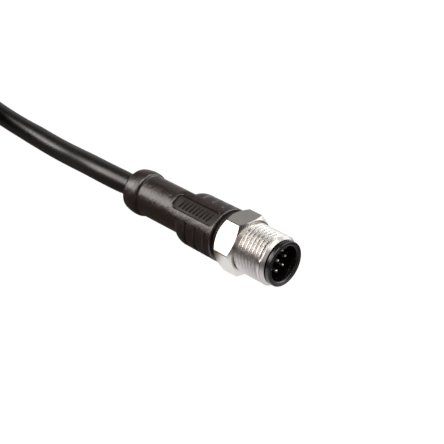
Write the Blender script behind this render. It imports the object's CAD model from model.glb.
import math

import bmesh
import bpy
from mathutils import Matrix, Vector


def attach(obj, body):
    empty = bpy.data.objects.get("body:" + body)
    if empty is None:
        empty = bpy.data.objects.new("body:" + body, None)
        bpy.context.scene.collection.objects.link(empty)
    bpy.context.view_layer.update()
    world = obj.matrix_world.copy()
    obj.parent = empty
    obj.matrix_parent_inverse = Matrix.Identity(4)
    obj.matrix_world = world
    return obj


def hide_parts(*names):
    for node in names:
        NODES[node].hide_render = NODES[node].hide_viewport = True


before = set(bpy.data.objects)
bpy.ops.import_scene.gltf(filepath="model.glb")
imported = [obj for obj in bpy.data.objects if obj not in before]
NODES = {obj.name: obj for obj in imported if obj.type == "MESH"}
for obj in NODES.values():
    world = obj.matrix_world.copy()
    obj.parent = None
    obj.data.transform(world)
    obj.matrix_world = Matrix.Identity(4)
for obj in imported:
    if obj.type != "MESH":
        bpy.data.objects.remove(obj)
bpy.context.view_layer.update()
MM = 0.001
scene = bpy.context.scene
scene.view_settings.view_transform = "Standard"
scene.view_settings.look = "None"
scene.view_settings.exposure = 0.0
scene.view_settings.gamma = 1.0

# ---------------------------------------------------------------- sizes, mm
FLOOR = -6.425
NUT_AF, NUT_FRONT, NUT_REAR = 12.85, 10.0, 15.3
THREAD_R, THREAD_ROOT, THREAD_END = 5.9, 5.359, 9.6
SCREW_FRONT, SCREW_BORE = 1.4, 4.78
PIN_R, PIN_RING, PIN_TIP = 0.4, 2.5, 1.9
PIN_ANGLE, KEY_ANGLE = 31.3, 5.5
GRIP_FRONT, GRIP_REAR, NECK_FRONT = 16.75, 26.1, 29.2
NECK_R, COLLAR_FRONT, COLLAR_REAR = 4.9, 42.1, 46.6
PAD_ANGLE = -37.5
CABLE_R = 2.6
LANE, LAYER, FOLD_R = 5.2, 5.3, 15.6
FOLD_X, FOLD_RUN, FOLD_Y = -125.0, 62.0, -12.8
HANK_Z = FLOOR + 0.5 + CABLE_R


def sstep(a, b, v):
    if a == b:
        return 0.0 if v < a else 1.0
    t = min(1.0, max(0.0, (v - a) / (b - a)))
    return t * t * (3 - 2 * t)


def polar(x, r, deg):
    a = math.radians(deg)
    return (x, r * math.sin(a), r * math.cos(a))


# ---------------------------------------------------------------- meshes
def add(name, verts, faces, mat, body="plug", stands_for=(), sharp=35, flat=False):
    me = bpy.data.meshes.new(name)
    me.from_pydata([(v[0] * MM, v[1] * MM, v[2] * MM) for v in verts], [], faces)
    me.validate()
    bm = bmesh.new()
    bm.from_mesh(me)
    bmesh.ops.remove_doubles(bm, verts=bm.verts, dist=1e-8)
    bmesh.ops.recalc_face_normals(bm, faces=bm.faces)
    bm.to_mesh(me)
    bm.free()
    me.update()
    if flat:
        me.shade_flat()
    else:
        me.shade_smooth()
        me.set_sharp_from_angle(angle=math.radians(sharp))
    me.materials.append(mat)
    o = bpy.data.objects.new(name, me)
    scene.collection.objects.link(o)
    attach(o, body)
    for n in stands_for:
        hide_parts(n)
    return o


def grid_faces(rows, cols, first=0, closed=True):
    out = []
    for i in range(rows - 1):
        for j in range(cols if closed else cols - 1):
            k = (j + 1) % cols
            a, b = first + i * cols, first + (i + 1) * cols
            out.append((a + j, a + k, b + k, b + j))
    return out


def lathe(profile, n=96, centre=(0.0, 0.0), closed=False):
    """Turned solid from points (x, r); a point with r = 0 closes it."""
    verts, faces, rings = [], [], []
    for x, r in profile:
        if r < 1e-6:
            rings.append([len(verts)])
            verts.append((x, centre[0], centre[1]))
        else:
            rings.append(list(range(len(verts), len(verts) + n)))
            for j in range(n):
                p = polar(x, r, 360 * j / n)
                verts.append((p[0], p[1] + centre[0], p[2] + centre[1]))
    pairs = list(zip(rings, rings[1:])) + ([(rings[-1], rings[0])] if closed else [])
    for a, b in pairs:
        if len(a) == 1 and len(b) == 1:
            continue
        for j in range(n):
            k = (j + 1) % n
            if len(a) == 1:
                faces.append((a[0], b[k], b[j]))
            elif len(b) == 1:
                faces.append((a[j], a[k], b[0]))
            else:
                faces.append((a[j], a[k], b[k], b[j]))
    return verts, faces


def merge(parts):
    verts, faces = [], []
    for v, f in parts:
        base = len(verts)
        verts += list(v)
        faces += [tuple(i + base for i in q) for q in f]
    return verts, faces


def tube(points, r, n=16, cap=True, r_at=None):
    """Tube along dense points, its rings turned along without twist."""
    pts = [Vector(p) for p in points]
    m = len(pts)
    tang = []
    for i in range(m):
        d = pts[min(i + 1, m - 1)] - pts[max(i - 1, 0)]
        tang.append(d.normalized())
    up = Vector((0, 0, 1))
    u = (up - tang[0] * up.dot(tang[0])).normalized()
    verts, faces = [], []
    for i in range(m):
        u = (u - tang[i] * u.dot(tang[i])).normalized()
        w = tang[i].cross(u)
        rr = r if r_at is None else r_at(i / (m - 1))
        for j in range(n):
            a = 2 * math.pi * j / n
            verts.append(tuple(pts[i] + u * (rr * math.cos(a)) + w * (rr * math.sin(a))))
    faces = grid_faces(m, n)
    if cap:
        for i, flip in ((0, True), (m - 1, False)):
            c = len(verts)
            verts.append(tuple(pts[i]))
            for j in range(n):
                k = (j + 1) % n
                t = (i * n + j, i * n + k, c)
                faces.append(t[::-1] if flip else t)
    return verts, faces


def smooth_path(points, step=1.0):
    """Points along a Catmull-Rom line through the given ones, about step apart."""
    p = [Vector(q) for q in points]
    p = [p[0] * 2 - p[1]] + p + [p[-1] * 2 - p[-2]]
    out = []
    for i in range(1, len(p) - 2):
        n = max(1, round((p[i + 1] - p[i]).length / step))
        for k in range(n):
            t = k / n
            a, b, c, d = p[i - 1], p[i], p[i + 1], p[i + 2]
            out.append(0.5 * ((2 * b) + (c - a) * t + (2 * a - 5 * b + 4 * c - d) * t * t
                              + (3 * b - a - 3 * c + d) * t ** 3))
    out.append(p[-2])
    return out


# ---------------------------------------------------------------- materials
def nodes_of(name):
    m = bpy.data.materials.new(name)
    m.use_nodes = True
    nt = m.node_tree
    bsdf = nt.nodes["Principled BSDF"]
    return m, nt, bsdf


def noise(nt, scale, detail=3.0, rough=0.55, stretch=None):
    tc = nt.nodes.new("ShaderNodeTexCoord")
    mp = nt.nodes.new("ShaderNodeMapping")
    nz = nt.nodes.new("ShaderNodeTexNoise")
    if stretch:
        mp.inputs["Scale"].default_value = stretch
    nz.inputs["Scale"].default_value = scale
    nz.inputs["Detail"].default_value = detail
    nz.inputs["Roughness"].default_value = rough
    nt.links.new(tc.outputs["Object"], mp.inputs["Vector"])
    nt.links.new(mp.outputs["Vector"], nz.inputs["Vector"])
    return nz.outputs["Fac"]


def ramp(nt, fac, stops):
    r = nt.nodes.new("ShaderNodeValToRGB")
    e = r.color_ramp.elements
    e[0].position, e[1].position = stops[0][0], stops[-1][0]
    e[0].color, e[1].color = (*stops[0][1], 1), (*stops[-1][1], 1)
    for pos, c in stops[1:-1]:
        n = e.new(pos)
        n.color = (*c, 1)
    nt.links.new(fac, r.inputs["Fac"])
    return r.outputs["Color"]


def to_range(nt, fac, lo, hi):
    r = nt.nodes.new("ShaderNodeMapRange")
    r.inputs["From Min"].default_value = 0.3
    r.inputs["From Max"].default_value = 0.7
    r.inputs["To Min"].default_value = lo
    r.inputs["To Max"].default_value = hi
    nt.links.new(fac, r.inputs["Value"])
    return r.outputs["Result"]


def bump(nt, bsdf, fac, dist, strength=1.0, chain=None):
    b = nt.nodes.new("ShaderNodeBump")
    b.inputs["Distance"].default_value = dist
    b.inputs["Strength"].default_value = strength
    nt.links.new(fac, b.inputs["Height"])
    if chain:
        nt.links.new(chain, b.inputs["Normal"])
    nt.links.new(b.outputs["Normal"], bsdf.inputs["Normal"])
    return b.outputs["Normal"]


def plastic(name, dark, light, rough, grain=6000, depth=4e-6, spec=0.5, ior=1.5, wide=220, coat=0.0, lines=None):
    m, nt, bsdf = nodes_of(name)
    big = noise(nt, wide, 4)
    nt.links.new(ramp(nt, big, [(0.3, dark), (0.7, light)]), bsdf.inputs["Base Color"])
    nt.links.new(to_range(nt, noise(nt, wide * 3, 3), rough * 0.9, rough * 1.12), bsdf.inputs["Roughness"])
    bsdf.inputs["Specular IOR Level"].default_value = spec
    bsdf.inputs["IOR"].default_value = ior
    if coat:
        bsdf.inputs["Coat Weight"].default_value = coat
        bsdf.inputs["Coat Roughness"].default_value = 0.12
    n = bump(nt, bsdf, noise(nt, grain, 2), depth, 0.6)
    if lines:
        bump(nt, bsdf, noise(nt, lines[0], 2, 0.5, lines[1]), lines[2], 0.5, n)
    return m


def metal(name, dark, light, rough, grain=3000, depth=2e-6, stretch=None, wide=260):
    m, nt, bsdf = nodes_of(name)
    bsdf.inputs["Metallic"].default_value = 1.0
    nt.links.new(ramp(nt, noise(nt, wide, 4), [(0.3, dark), (0.7, light)]), bsdf.inputs["Base Color"])
    nt.links.new(to_range(nt, noise(nt, wide * 4, 4), rough * 0.8, rough * 1.25), bsdf.inputs["Roughness"])
    bump(nt, bsdf, noise(nt, grain, 2, 0.5, stretch), depth, 0.5)
    return m


GRIP = plastic("grip_tpu", (0.0100, 0.0027, 0.0024), (0.0122, 0.0038, 0.0034), 0.30, grain=5200, depth=5e-5, spec=1.0, ior=1.54,
               lines=(1600, (1, 0.4, 0.4), 2.4e-4))
GRIP_MATT = plastic("grip_tpu_eroded", (0.0100, 0.0030, 0.0026), (0.0125, 0.0046, 0.0040), 0.56, grain=2600, depth=3e-5, spec=0.5, ior=1.5)
JACKET = plastic("cable_pur", (0.0014, 0.0009, 0.0009), (0.0018, 0.0013, 0.0013), 0.33, grain=2600, depth=2e-6, spec=0.88,
                 lines=(1500, (0.05, 1, 1), 1e-6))
INSERT = plastic("insert_pa", (0.0032, 0.0026, 0.0026), (0.0046, 0.0040, 0.0040), 0.26, grain=7000, depth=3e-6, spec=0.7, ior=1.5)
SLEEVE = plastic("sleeve_pp", (0.006, 0.0045, 0.004), (0.009, 0.007, 0.006), 0.5)
NICKEL = metal("nickel_plate", (0.66, 0.64, 0.60), (0.72, 0.70, 0.66), 0.20)
THREAD = metal("nickel_thread", (0.60, 0.58, 0.56), (0.67, 0.65, 0.63), 0.29, grain=2600, stretch=(4, 1, 1), depth=1e-6)
GOLD = metal("gold_plate", (0.84, 0.76, 0.62), (0.92, 0.85, 0.72), 0.30, depth=1e-6)
TIN = metal("tinned_copper", (0.70, 0.69, 0.67), (0.82, 0.81, 0.79), 0.30, grain=4000, stretch=(1, 8, 8), depth=6e-6)
CORE_RGB = {
    "white": (0.78, 0.77, 0.74), "brown": (0.16, 0.065, 0.025), "green": (0.02, 0.24, 0.06),
    "yellow": (0.80, 0.60, 0.03), "grey": (0.26, 0.27, 0.28), "pink": (0.80, 0.30, 0.38),
    "blue": (0.02, 0.08, 0.42), "red": (0.50, 0.015, 0.015),
}
CORE_MAT = {
    k: plastic("core_" + k, tuple(x * 0.92 for x in c), c, 0.34, grain=4200, depth=2e-6)
    for k, c in CORE_RGB.items()
}

# ---------------------------------------------------------------- camera
PX = 1350.0
right = Vector((0.718, 0.69459, 0.04492)).normalized()
up = Vector((-0.36115, 0.3166, 0.87712))
up = (up - right * up.dot(right)).normalized()
back = right.cross(up)
roll = math.radians(0.29)
right, up = right * math.cos(roll) + up * math.sin(roll), up * math.cos(roll) - right * math.sin(roll)
spot = Vector((159.615, -193.861, 145.908)) * MM
spot += (up - right) * (0.5 * 0.2915 / PX)
cam_data = bpy.data.cameras.new("camera")
cam_data.sensor_width = 36
cam_data.lens = 36 * PX / 444
cam_data.clip_start = 0.01
cam = bpy.data.objects.new("camera", cam_data)
cam.matrix_world = Matrix(((right.x, up.x, back.x, spot.x), (right.y, up.y, back.y, spot.y),
                           (right.z, up.z, back.z, spot.z), (0, 0, 0, 1)))
scene.collection.objects.link(cam)
scene.camera = cam

# ---------------------------------------------------------------- cable
RUN = [(-46.4, 0, 0), (-50, 0, -0.07), (-54, 0.05, -0.22), (-58, 0.24, -0.40), (-62, 0.78, -0.80),
       (-66, 1.60, -1.40), (-70, 2.52, -2.15), (-74, 3.40, -2.86), (-78, 4.04, -3.36), (-82, 4.46, -3.60),
       (-86, 4.77, -3.69), (-90, 5.08, -3.72), (-95, 5.46, -3.80), (-100, 5.84, -3.825), (-105, 6.30, -3.8),
       (-110, 6.86, -3.7), (-115, 7.42, -3.5), (-120, 7.87, -3.36), (-125, 8, -3.325)]


def straight(a, b, step=1.5):
    a, b = Vector(a), Vector(b)
    n = max(1, round((b - a).length / step))
    return [a.lerp(b, i / n) for i in range(n)]


def bend(cx, cy, r, z, far, start_y_up, lift=None):
    """Half turn of radius r about (cx, cy): round the far end from +y to -y, or round the near end back."""
    n = max(8, round(math.pi * r / 1.5))
    out = []
    for i in range(n):
        t = math.pi * i / n
        if far:
            out.append(Vector((cx - r * math.sin(t), cy + r * math.cos(t), z + (lift(t) if lift else 0))))
        else:
            out.append(Vector((cx + r * math.sin(t), cy - r * math.cos(t), z + (lift(t) if lift else 0))))
    return out


x0, x1 = FOLD_X, FOLD_X - FOLD_RUN
yo_p, yo_n = FOLD_Y + FOLD_R + LANE, FOLD_Y - FOLD_R - LANE
yi_p, yi_n = FOLD_Y + FOLD_R, FOLD_Y - FOLD_R
z1, z2 = HANK_Z, HANK_Z + LAYER
climb = lambda s: LAYER * sstep(0, 45, s)
hank = []
hank += straight((x0, yo_p, z1), (x1, yo_p, z1)) + bend(x1, FOLD_Y, FOLD_R + LANE, z1, True, True)
hank += straight((x1, yo_n, z1), (x0, yo_n, z1)) + bend(x0, FOLD_Y - LANE / 2, FOLD_R + LANE / 2, z1, False, False)
hank += straight((x0, yi_p, z1), (x1, yi_p, z1)) + bend(x1, FOLD_Y, FOLD_R, z1, True, True)
for p in straight((x1, yi_n, z1), (x0, yi_n, z1)):
    p.z = z1 + climb(p.x - (x0 - 12))
    hank.append(p)
hank += bend(x0, FOLD_Y, FOLD_R, z1, False, False, lambda t: climb(12 + FOLD_R * t))
hank += straight((x0, yi_p, z2), (x1, yi_p, z2)) + bend(x1, FOLD_Y, FOLD_R, z2, True, True)
for p in straight((x1, yi_n, z2), (x0, yi_n, z2)):
    t = min(1, max(0, (p.x - (x0 - 25)) / 25))
    p.y = yi_n - LANE * (1 - math.cos(math.pi * t)) / 2
    hank.append(p)
hank += bend(x0, FOLD_Y, FOLD_R + LANE, z2, False, False)
hank += straight((x0, yo_p, z2), (x1, yo_p, z2)) + bend(x1, FOLD_Y, FOLD_R + LANE, z2, True, True)
END = Vector((x1 + 14, yo_n, z2))
hank += straight((x1, yo_n, z2), END) + [END]
path = smooth_path(RUN, 1.0)[:-1] + hank
line = [Vector((-45.6, 0, 0))] + path


def cable_r(f):
    """The jacket stands a little fuller along the bent part of the run."""
    i = round(f * (len(line) - 1))
    if i > 60:
        return CABLE_R
    return CABLE_R + 0.11 * sstep(-48.5, -53, line[i].x) * sstep(-98, -90, line[i].x)


verts, faces = tube(line, CABLE_R, 28, cap=False, r_at=cable_r)
n_ring = len(path) + 1
# the cut end of the jacket, with its wall
last = (n_ring - 1) * 28
ring2 = len(verts)
for dx, r in ((0.0, 1.8), (-1.2, 1.75)):
    for j in range(28):
        a = 2 * math.pi * j / 28
        v = Vector(verts[last + j]) - END
        v = v.normalized() * r
        verts.append((END.x + dx, END.y + v.y, END.z + v.z))
for a, b in ((last, ring2), (ring2, ring2 + 28)):
    for j in range(28):
        k = (j + 1) % 28
        faces.append((a + j, a + k, b + k, b + j))
faces.append(tuple(range(ring2 + 28, ring2 + 56)))
faces.append(tuple(range(27, -1, -1)))
cable = add("cable", verts, faces, JACKET, stands_for=("cable_run", "cable_hank"), sharp=50)

# stripped core ends
LEAD = 22.0
tips = []
for k, colour in enumerate(["white", "brown", "green", "yellow", "grey", "pink", "blue", "red"]):
    a = 2 * math.pi * k / 7 + 0.2
    r0 = 0.0 if k == 7 else 1.17
    y, z = r0 * math.sin(a), r0 * math.cos(a)
    spread = 1.0 + 0.28 * ((k * 5) % 7) / 7
    n = LEAD - 0.7 * (k % 4) - 0.4
    pts = []
    for i in range(12):
        t = i / 11
        e = sstep(0, 1, t)
        sink = -0.72 * e
        pts.append((END.x - 0.9 + (n + 0.9) * t, END.y + y * (1 + (spread - 1) * 1.6 * e) + 0.10 * math.sin(3 * t * math.pi + k) * e,
                    END.z + z * (1 + 0.06 * e) + sink))
    bare = 0.74
    cut = [p for p in pts if (p[0] - pts[0][0]) / (n + 0.9) <= bare]
    v, f = tube(smooth_path(cut, 0.8), 0.49, 14)
    o = add("lead_" + colour, v, f, CORE_MAT[colour], stands_for=("flying_leads",), sharp=60)
    rest = [p for p in pts if (p[0] - pts[0][0]) / (n + 0.9) >= bare - 0.09]
    tips.append(tube(smooth_path(rest, 0.7), 0.27, 12))
v, f = merge(tips)
tip_obj = add("lead_tips", v, f, TIN, sharp=60)

# the strap round the hank: a band with round corners and its overlapping tail
tx = FOLD_X - FOLD_RUN / 2 + 12
hy, hz = FOLD_R + LANE + CABLE_R, (LAYER + 2 * CABLE_R) / 2
zc = FLOOR + 0.5 + hz


def band_outline(t, n=10):
    out = []
    for sy, sz, a0 in ((1, 1, 0), (-1, 1, 90), (-1, -1, 180), (1, -1, 270)):
        for i in range(n + 1):
            a = math.radians(a0 + 90 * i / n)
            cy, cz, r = sy * (hy - CABLE_R), sz * (hz - CABLE_R), CABLE_R + t
            out.append((cy + r * math.cos(a), cz + r * math.sin(a)))
    return out


def band(x_a, x_b, t_in, t_out):
    verts, rings = [], []
    for x, t in ((x_a, t_in), (x_a, t_out - 0.08), (x_a + 0.1, t_out), (x_b - 0.1, t_out), (x_b, t_out - 0.08), (x_b, t_in)):
        rings.append(len(verts))
        verts += [(x, FOLD_Y + y, zc + z) for y, z in band_outline(t)]
    m = len(band_outline(0))
    faces = []
    for a, b in zip(rings, rings[1:] + rings[:1]):
        for j in range(m):
            k = (j + 1) % m
            faces.append((a + j, a + k, b + k, b + j))
    return verts, faces


strap_mat, nt, bsdf = nodes_of("strap_weave")
w1 = noise(nt, 1500, 2, 0.5, (3, 1, 1))
w2 = noise(nt, 5200, 2, 0.5)
nt.links.new(ramp(nt, w1, [(0.35, (0.016, 0.016, 0.018)), (0.65, (0.045, 0.045, 0.05))]), bsdf.inputs["Base Color"])
nt.links.new(to_range(nt, w2, 0.75, 0.95), bsdf.inputs["Roughness"])
bsdf.inputs["Sheen Weight"].default_value = 0.4
bump(nt, bsdf, w2, 6e-5, 0.8)
v, f = band(tx - 4.5, tx + 4.5, 0.02, 0.46)
strap = add("hank_strap", v, f, strap_mat, stands_for=("hank_tie",), sharp=40)
tail = []
for i in range(24):
    t = i / 23
    tail.append((FOLD_Y + 14 - 22 * t, zc + hz + 0.46 + 0.12 + 0.25 * sstep(0.85, 1, t)))
vt, ft = [], []
for y, z in tail:
    for x, dz in ((tx - 4.2, -0.11), (tx - 4.2, 0.11), (tx + 4.2, 0.11), (tx + 4.2, -0.11)):
        vt.append((x, y, z + dz - 0.02))
ft = grid_faces(24, 4) + [(0, 1, 2, 3), (95, 94, 93, 92)]
tail_obj = add("hank_strap_tail", vt, ft, strap_mat, sharp=40)

# ---------------------------------------------------------------- screw: thread
PITCH = 1.0
FIRST = -2.42
START = -75.0


def chamfer_r(x):
    if x > -SCREW_FRONT:
        return 5.28
    return 5.28 + 0.55 * (-SCREW_FRONT - x) if x > -2.3 else 9.0


def thread_r(x, deg):
    if x < -THREAD_END - 0.28:
        return 5.3
    if x < -THREAD_END:
        return 5.3 + (THREAD_R - 5.3) * sstep(-THREAD_END - 0.28, -THREAD_END, x) * 0.0 + 0.02
    th = (deg - START) % 360.0
    root0 = FIRST - PITCH * th / 360.0
    k = round((root0 - x) / PITCH)
    d = abs(x - (root0 - k * PITCH))
    full = THREAD_R - THREAD_ROOT
    cut = min(1.0, max(0.0, (0.4375 - d) / (0.4375 - 0.125)))
    cut = cut if cut < 0.94 else 0.94 + (cut - 0.94) * 0.5
    amount = 0.0 if k < 0 else (sstep(0, 16, th) if k == 0 else 1.0)
    r = THREAD_R - full * cut * amount
    return min(r, chamfer_r(x))


N = 192
xs = []
x = -SCREW_FRONT
while x > -THREAD_END:
    xs.append(x)
    x -= 0.032
xs += [-THREAD_END, -THREAD_END - 0.01, -THREAD_END - 0.12, -9.95, -10.3]
verts = []
rows = 0
for r in (SCREW_BORE, SCREW_BORE + 0.36):   # the bore's front edge
    xx = -SCREW_FRONT - (0.36 if r == SCREW_BORE else 0.0)
    verts += [polar(xx, r, 360 * j / N) for j in range(N)]
    rows += 1
verts += [polar(-SCREW_FRONT, 5.18, 360 * j / N) for j in range(N)]
rows += 1
for i, x in enumerate(xs):
    for j in range(N):
        a = 360 * j / N
        verts.append(polar(x - (0.05 if i == 0 else 0.0), thread_r(x, a) if x > -THREAD_END - 0.005 else 5.32, a))
    rows += 1
verts += [polar(-10.3, SCREW_BORE, 360 * j / N) for j in range(N)]
rows += 1
faces = grid_faces(rows, N)
faces += [((rows - 1) * N + j, (rows - 1) * N + (j + 1) % N, (j + 1) % N, j) for j in range(N)]
thread = add("screw_thread", verts, faces, THREAD, "coupling_screw", ("coupling_screw",), sharp=28)


# ---------------------------------------------------------------- screw: nut
def solid(name, verts, faces):
    me = bpy.data.meshes.new(name)
    me.from_pydata([(v[0] * MM, v[1] * MM, v[2] * MM) for v in verts], [], faces)
    bm = bmesh.new()
    bm.from_mesh(me)
    bmesh.ops.recalc_face_normals(bm, faces=bm.faces)
    bm.to_mesh(me)
    bm.free()
    o = bpy.data.objects.new(name, me)
    scene.collection.objects.link(o)
    return o


hexa = []
cr = NUT_AF / 2 / math.cos(math.radians(30))
for c in range(6):
    mid = 30 + 60 * c
    # each corner is rounded a little
    for d in (-1.5, -0.75, 0.0, 0.75, 1.5):
        rr = cr - 0.085
        flat_r = NUT_AF / 2 / math.cos(math.radians(30 - abs(d)))
        hexa.append((min(flat_r, rr + 0.02 * (1 - abs(d) / 1.5)), mid + d))
hv, hf = [], []
for x in (-NUT_REAR, -NUT_FRONT):
    hv += [polar(x, r, a) for r, a in hexa]
m = len(hexa)
hf += [(j, (j + 1) % m, m + (j + 1) % m, m + j) for j in range(m)]
hf += [tuple(range(m)), tuple(range(2 * m - 1, m - 1, -1))]
prism = solid("nut_hex", hv, hf)
front_cut = 1.12 * math.tan(math.radians(30))
cv, cf = lathe([(-NUT_REAR, SCREW_BORE + 0.2), (-NUT_REAR, 6.28), (-NUT_REAR + 0.03, 6.36), (-NUT_REAR + 1.12, 7.45),
                (-NUT_FRONT - front_cut, 7.45), (-NUT_FRONT - 0.02, 6.36), (-NUT_FRONT, 6.28), (-NUT_FRONT, SCREW_BORE),
                (-NUT_REAR + 0.2, SCREW_BORE)], 240, closed=True)
cone = solid("nut_cone", cv, cf)
mod = prism.modifiers.new("cut", "BOOLEAN")
mod.operation = "INTERSECT"
mod.solver = "EXACT"
mod.object = cone
bpy.context.view_layer.update()
deps = bpy.context.evaluated_depsgraph_get()
me = bpy.data.meshes.new_from_object(prism.evaluated_get(deps))
prism.modifiers.clear()
prism.data = me
bpy.data.objects.remove(cone)
me.shade_smooth()
me.set_sharp_from_angle(angle=math.radians(14))
me.materials.clear()
me.materials.append(NICKEL)
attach(prism, "coupling_screw")
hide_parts("coupling_screw")

# ---------------------------------------------------------------- insert
prof = [(-16.0, 0.0), (-16.0, 4.6), (-15.9, 4.7), (-1.1, 4.7), (-1.1, 5.12), (-1.07, 5.21), (-0.99, 5.25),
        (-0.14, 5.25), (-0.05, 5.23), (0.0, 5.17), (0.015, 5.08), (0.0, 5.0), (-0.05, 4.92), (-0.05, 4.56),
        (-0.02, 4.50), (0.0, 4.46), (0.0, 4.40), (-0.03, 4.34), (-0.24, 4.13), (-0.34, 4.10), (-0.5, 4.10),
        (-9.3, 4.06), (-9.5, 4.0), (-9.6, 3.86), (-9.6, 3.0), (-9.6, 0.0)]
iv, if_ = lathe(prof, 160)
insert = add("insert_body", iv, if_, INSERT, stands_for=("contact_insert",), sharp=30)
kw, ka = 0.575, KEY_ANGLE
kp = []
for x in (-9.62, -0.75, -0.6, -0.52):
    r_in = {-9.62: 3.45, -0.75: 3.45, -0.6: 3.52, -0.52: 3.68}[x]
    for w, r in ((-kw, 4.2), (-kw, r_in + 0.1), (-kw + 0.1, r_in), (kw - 0.1, r_in), (kw, r_in + 0.1), (kw, 4.2)):
        a = math.radians(ka)
        kp.append((x, r * math.sin(a) + w * math.cos(a), r * math.cos(a) - w * math.sin(a)))
kf = grid_faces(4, 6) + [tuple(range(5, -1, -1)), tuple(range(18, 24))]
key = add("insert_key", kp, kf, INSERT, sharp=30)

# contacts
for k in range(8):
    a = math.radians(PIN_ANGLE + k * 360 / 7)
    r = 0.0 if k == 7 else PIN_RING
    c = (r * math.sin(a), r * math.cos(a))
    pv, pf = lathe([(-PIN_TIP, 0.0), (-PIN_TIP - 0.01, 0.12), (-PIN_TIP - 0.06, 0.22), (-PIN_TIP - 0.16, 0.31),
                    (-PIN_TIP - 0.30, 0.375), (-PIN_TIP - 0.48, 0.4), (-9.0, 0.4), (-13.0, 0.4), (-13.02, 0.55),
                    (-18.4, 0.55), (-18.5, 0.5), (-18.5, 0.0)], 28, c)
    add(f"pin_{k + 1}", pv, pf, GOLD, stands_for=(f"contact_{k + 1}",), sharp=40)
    # a low collar where the pin leaves the socket's floor
    bv, bf = lathe([(-9.65, 0.72), (-9.48, 0.70), (-9.42, 0.62), (-9.42, 0.41), (-9.65, 0.41)], 28, c, closed=True)
    add(f"pin_seat_{k + 1}", bv, bf, INSERT, sharp=30)

# ---------------------------------------------------------------- grip
R_FRONT, R_REAR = 6.4, 6.3
PAD_R = 6.34


def base_r(x):
    """Turned outline of the moulding, x negative towards the cable."""
    u = -x
    if u <= GRIP_REAR:
        r = R_FRONT + (R_REAR - R_FRONT) * (u - 17.0) / (GRIP_REAR - 17.0)
        d = GRIP_FRONT + 0.28 - u
        if d > 0:
            r -= 0.28 - math.sqrt(max(0.0, 0.28 ** 2 - d ** 2))
        return r
    if u <= NECK_FRONT:
        q = (u - GRIP_REAR) / (NECK_FRONT - GRIP_REAR)
        r = R_REAR - (R_REAR - NECK_R) * q * q
        return r
    if u < COLLAR_FRONT - 0.34:
        return NECK_R
    if u < COLLAR_FRONT:
        q = (u - COLLAR_FRONT + 0.34) / 0.34
        return NECK_R - 0.16 * math.sin(math.pi * min(1.0, q * 0.9))
    pts = [(COLLAR_FRONT, 5.14), (COLLAR_FRONT + 0.08, 5.27), (COLLAR_FRONT + 0.4, 5.37), (COLLAR_FRONT + 1.1, 5.44),
           (COLLAR_FRONT + 1.8, 5.43), (COLLAR_FRONT + 2.6, 5.34), (COLLAR_FRONT + 3.3, 5.22), (COLLAR_FRONT + 3.9, 5.08),
           (COLLAR_FRONT + 4.25, 4.92), (COLLAR_FRONT + 4.42, 4.78), (COLLAR_FRONT + 4.5, 4.58)]
    for (a, ra), (b, rb) in zip(pts, pts[1:]):
        if u <= b:
            return ra + (rb - ra) * (u - a) / (b - a)
    return pts[-1][1]


def sd_box(x, w, xa, xb, half, rad):
    """Signed distance to a rounded rectangle, negative inside."""
    cx, hx = (xa + xb) / 2, (xb - xa) / 2
    dx, dw = abs(x - cx) - hx + rad, abs(w) - half + rad
    return math.hypot(max(dx, 0), max(dw, 0)) + min(max(dx, dw), 0) - rad


def grip_r(x, deg):
    r = base_r(x)
    if x < -31.8:
        return r
    for side, centre in enumerate((PAD_ANGLE, PAD_ANGLE + 180)):
        dt = (deg - centre + 180) % 360 - 180
        if abs(dt) < 60:
            w = 6.25 * math.sin(math.radians(dt))
            top = max(r, PAD_R) if x < -17.0 else r
            s = sd_box(x, w, -30.95, -10.0, 3.42, 1.9)
            r += (top - r) * sstep(0.16, -0.16, s)
            s = sd_box(x, w, -30.25, -17.35, 1.83, 0.95)
            r -= 0.42 * sstep(0.10, -0.10, s)
            if side == 0:
                q = x - 0.30 * w
                i = round((q + 23.8) / 1.08)
                if abs(i) <= 4:
                    s = sd_box(q, w, -23.8 + 1.08 * i - 0.21, -23.8 + 1.08 * i + 0.21, 1.12, 0.2)
                    r += 0.30 * sstep(0.07, -0.09, s)
        for i in range(3):
            gx = -18.65 - 3.02 * i
            if abs(x - gx) < 0.8:
                a0, a1 = 36.8, 180 - 36.8
                d = dt % 360
                if a0 - 8 < d < a1 + 8:
                    over = max(a0 - d, d - a1, 0.0)
                    e = math.radians(over) * 6.2
                    s = math.hypot(x - gx, e)
                    r -= 0.40 * sstep(0.52, 0.08, s)
    return r


xs = []
x = -GRIP_FRONT
for a, b, st in ((-16.75, -17.05, 0.05), (-17.05, -31.2, 0.088), (-31.2, -41.6, 0.6), (-41.6, -42.3, 0.045), (-42.3, -46.6, 0.12)):
    n = max(1, round((a - b) / st))
    xs += [a + (b - a) * i / n for i in range(n)]
xs.append(-46.6)
angles = []
for c in (PAD_ANGLE, PAD_ANGLE + 180):
    n1, n2 = 112, 48
    angles += [c - 36 + 72 * i / n1 for i in range(n1)]
    angles += [c + 36 + 108 * i / n2 for i in range(n2)]
M = len(angles)
verts = []
rows = 0
for x, r in ((-17.6, 5.62), (-GRIP_FRONT, 5.62), (-GRIP_FRONT, 5.8)):
    verts += [polar(x, r, a) for a in angles]
    rows += 1
for x in xs:
    verts += [polar(x, grip_r(x, a), a) for a in angles]
    rows += 1
for x, r in ((-46.6, 2.9), (-46.5, 2.64), (-46.2, 2.6), (-44.5, 2.6)):
    verts += [polar(x, r, a) for a in angles]
    rows += 1
faces = grid_faces(rows, M)
faces += [((rows - 1) * M + j, (rows - 1) * M + (j + 1) % M, (j + 1) % M, j) for j in range(M)]
grip = add("grip", verts, faces, GRIP, stands_for=("overmould",), sharp=55)
grip.data.materials.append(GRIP_MATT)
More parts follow.
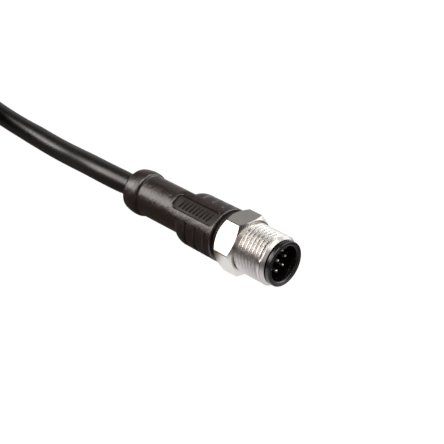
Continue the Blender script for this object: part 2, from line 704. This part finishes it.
for f in grip.data.polygons:
    c = f.center / MM
    if -30.2 < c.x < -17.3:
        deg = math.degrees(math.atan2(c.y, c.z))
        for centre in (PAD_ANGLE, PAD_ANGLE + 180):
            dt = (deg - centre + 180) % 360 - 180
            if abs(dt) < 40 and sd_box(c.x, 6.25 * math.sin(math.radians(dt)), -30.25, -17.35, 1.83, 0.95) < -0.02:
                f.material_index = 1
    if -26.0 < c.x < -17.3 and math.hypot(c.y, c.z) < base_r(c.x) - 0.10:
        f.material_index = 1

# ---------------------------------------------------------------- CAD nodes that stay
def paint(node, mat):
    o = NODES[node]
    o.data.materials.clear()
    o.data.materials.append(mat)
    o.data.shade_smooth()
    o.data.set_sharp_from_angle(angle=math.radians(30))


paint("inner_mould", SLEEVE)
paint("jacket_end", JACKET)
for k, c in enumerate(["white", "brown", "green", "yellow", "grey", "pink", "blue", "red"]):
    paint(f"core_{k + 1}", CORE_MAT[c])

# ---------------------------------------------------------------- stage and light
def lit_by(nt, seen, other, out):
    """The seen shader for the camera's own rays, the other one for light and reflections."""
    lp = nt.nodes.new("ShaderNodeLightPath")
    mx = nt.nodes.new("ShaderNodeMixShader")
    nt.links.new(lp.outputs["Is Camera Ray"], mx.inputs[0])
    nt.links.new(other, mx.inputs[1])
    nt.links.new(seen, mx.inputs[2])
    nt.links.new(mx.outputs[0], out)


fm, nt, bsdf = nodes_of("floor_paper")
bsdf.inputs["Roughness"].default_value = 0.9
bsdf.inputs["Specular IOR Level"].default_value = 0.0
fc = ramp(nt, noise(nt, 30, 2), [(0.3, (0.045, 0.045, 0.045)), (0.7, (0.05, 0.05, 0.05))])
nt.links.new(fc, bsdf.inputs["Base Color"])
bsdf.inputs["Emission Color"].default_value = (1, 1, 1, 1)
bsdf.inputs["Emission Strength"].default_value = 1.0
tc = nt.nodes.new("ShaderNodeTexCoord")
mp = nt.nodes.new("ShaderNodeMapping")
mp.inputs["Location"].default_value = (0.010, 0.008, 0)
ln = nt.nodes.new("ShaderNodeVectorMath")
ln.operation = "LENGTH"
sc = nt.nodes.new("ShaderNodeMath")
sc.operation = "MULTIPLY"
sc.inputs[1].default_value = 5.0
nt.links.new(tc.outputs["Object"], mp.inputs["Vector"])
nt.links.new(mp.outputs["Vector"], ln.inputs[0])
nt.links.new(ln.outputs["Value"], sc.inputs[0])
near = ramp(nt, sc.outputs[0], [(0.0, (1.0, 1.0, 0.99)), (0.045, (0.95, 0.93, 0.95)), (0.085, (0.50, 0.475, 0.50)),
                                (0.13, (0.22, 0.20, 0.19)), (0.3, (0.12, 0.105, 0.095)), (1.0, (0.10, 0.085, 0.075))])
xyz = nt.nodes.new("ShaderNodeSeparateXYZ")
nt.links.new(tc.outputs["Object"], xyz.inputs["Vector"])
edge = nt.nodes.new("ShaderNodeMapRange")
edge.interpolation_type = "SMOOTHSTEP"
edge.inputs["From Min"].default_value = -0.0185
edge.inputs["From Max"].default_value = -0.0155
nt.links.new(xyz.outputs["X"], edge.inputs["Value"])
both = nt.nodes.new("ShaderNodeMix")
both.data_type = "RGBA"
both.inputs[6].default_value = (0.105, 0.088, 0.078, 1)
nt.links.new(edge.outputs["Result"], both.inputs[0])
nt.links.new(near, both.inputs[7])
pool = both.outputs[2]


def floor_blend(under, axis, lo, hi, share, colour):
    """The floor's brightness blended to another one past a line across it."""
    e = nt.nodes.new("ShaderNodeMapRange")
    e.interpolation_type = "SMOOTHSTEP"
    e.inputs["From Min"].default_value = lo
    e.inputs["From Max"].default_value = hi
    e.inputs["To Max"].default_value = share
    nt.links.new(xyz.outputs[axis], e.inputs["Value"])
    m = nt.nodes.new("ShaderNodeMix")
    m.data_type = "RGBA"
    m.inputs[7].default_value = (*colour, 1)
    nt.links.new(e.outputs["Result"], m.inputs[0])
    nt.links.new(under, m.inputs[6])
    return m.outputs[2]


pool = floor_blend(pool, "X", 0.001, 0.006, 0.75, (0.13, 0.11, 0.115))
pool = floor_blend(pool, "Y", 0.030, 0.050, 1.0, (0.92, 0.91, 0.90))
em = nt.nodes.new("ShaderNodeEmission")
nt.links.new(pool, em.inputs["Color"])
lit_by(nt, bsdf.outputs[0], em.outputs[0], nt.nodes["Material Output"].inputs["Surface"])
me = bpy.data.meshes.new("floor")
s = 2.0
me.from_pydata([(-s, -s, FLOOR * MM), (s, -s, FLOOR * MM), (s, s, FLOOR * MM), (-s, s, FLOOR * MM)], [], [(0, 1, 2, 3)])
me.materials.append(fm)
floor = bpy.data.objects.new("floor", me)
scene.collection.objects.link(floor)

world = bpy.data.worlds.new("studio")
world.use_nodes = True
scene.world = world
nt = world.node_tree
bg = nt.nodes["Background"]
tc = nt.nodes.new("ShaderNodeTexCoord")


def toward(direction, lo, hi, colour):
    """Soft round patch of the surroundings, full at the direction's middle."""
    d = nt.nodes.new("ShaderNodeVectorMath")
    d.operation = "DOT_PRODUCT"
    v = Vector(direction).normalized()
    d.inputs[1].default_value = v
    nt.links.new(tc.outputs["Generated"], d.inputs[0])
    r = nt.nodes.new("ShaderNodeMapRange")
    r.interpolation_type = "SMOOTHSTEP"
    r.inputs["From Min"].default_value = math.cos(math.radians(hi))
    r.inputs["From Max"].default_value = math.cos(math.radians(lo))
    nt.links.new(d.outputs["Value"], r.inputs["Value"])
    m = nt.nodes.new("ShaderNodeMix")
    m.data_type = "RGBA"
    m.inputs[6].default_value = (0, 0, 0, 1)
    m.inputs[7].default_value = (*colour, 1)
    nt.links.new(r.outputs["Result"], m.inputs[0])
    return m.outputs[2]


def plus(a, b):
    m = nt.nodes.new("ShaderNodeMix")
    m.data_type = "RGBA"
    m.blend_type = "ADD"
    m.inputs[0].default_value = 1.0
    nt.links.new(a, m.inputs[6])
    nt.links.new(b, m.inputs[7])
    return m.outputs[2]


sep = nt.nodes.new("ShaderNodeSeparateXYZ")
nt.links.new(tc.outputs["Generated"], sep.inputs["Vector"])
sky = ramp(nt, sep.outputs["Z"], [(0.0, (0.075, 0.055, 0.045)), (0.18, (0.07, 0.055, 0.047)), (0.5, (0.035, 0.031, 0.029)),
                                  (1.0, (0.03, 0.03, 0.03))])
sky = plus(sky, toward((0.35, 0.93, 0.05), 32, 45, (1.6, 1.6, 1.58)))
sky = plus(sky, toward((0.48, 0.66, 0.58), 8, 24, (2.4, 2.4, 2.4)))
sky = plus(sky, toward((-0.56, 0.70, 0.42), 10, 30, (0.30, 0.30, 0.295)))
sky = plus(sky, toward((0.42, -0.75, 0.50), 10, 38, (0.50, 0.48, 0.46)))
nt.links.new(sky, bg.inputs["Color"])
bg.inputs["Strength"].default_value = 1.0
white = nt.nodes.new("ShaderNodeBackground")
white.inputs["Color"].default_value = (1, 1, 1, 1)
lit_by(nt, white.outputs[0], bg.outputs[0], nt.nodes["World Output"].inputs["Surface"])

TARGET = Vector((-0.022, 0.0, 0.0))


def softbox(name, direction, dist, w, h, radiance, colour=(1, 1, 1)):
    d = bpy.data.lights.new(name, "AREA")
    d.shape = "RECTANGLE"
    d.size, d.size_y = w, h
    d.energy = radiance * math.pi * w * h
    d.color = colour
    o = bpy.data.objects.new(name, d)
    p = TARGET + Vector(direction).normalized() * dist
    z = (p - TARGET).normalized()
    x = (Vector((0, 0, 1)) if z.z < 0.8 else Vector((1, 0, 0))).cross(z).normalized()
    y = z.cross(x)
    o.matrix_world = Matrix(((x.x, y.x, z.x, p.x), (x.y, y.y, z.y, p.y), (x.z, y.z, z.z, p.z), (0, 0, 0, 1)))
    scene.collection.objects.link(o)
    return o


softbox("key", (-0.62, -0.60, 0.50), 1.2, 0.98, 0.66, 3.35, (1.0, 0.935, 0.90))
softbox("left_low", (-0.89, -0.37, 0.26), 1.2, 0.56, 0.48, 2.5, (1.0, 0.97, 0.95))
softbox("top_front", (-0.19, -0.26, 0.945), 1.2, 0.72, 0.54, 3.9, (1.0, 0.98, 0.95))
softbox("top_back", (-0.10, 0.44, 0.89), 1.2, 0.56, 0.50, 2.7)
softbox("overhead", (0.36, 0.0, 0.933), 1.2, 1.10, 0.80, 1.7, (1.0, 0.99, 0.98))
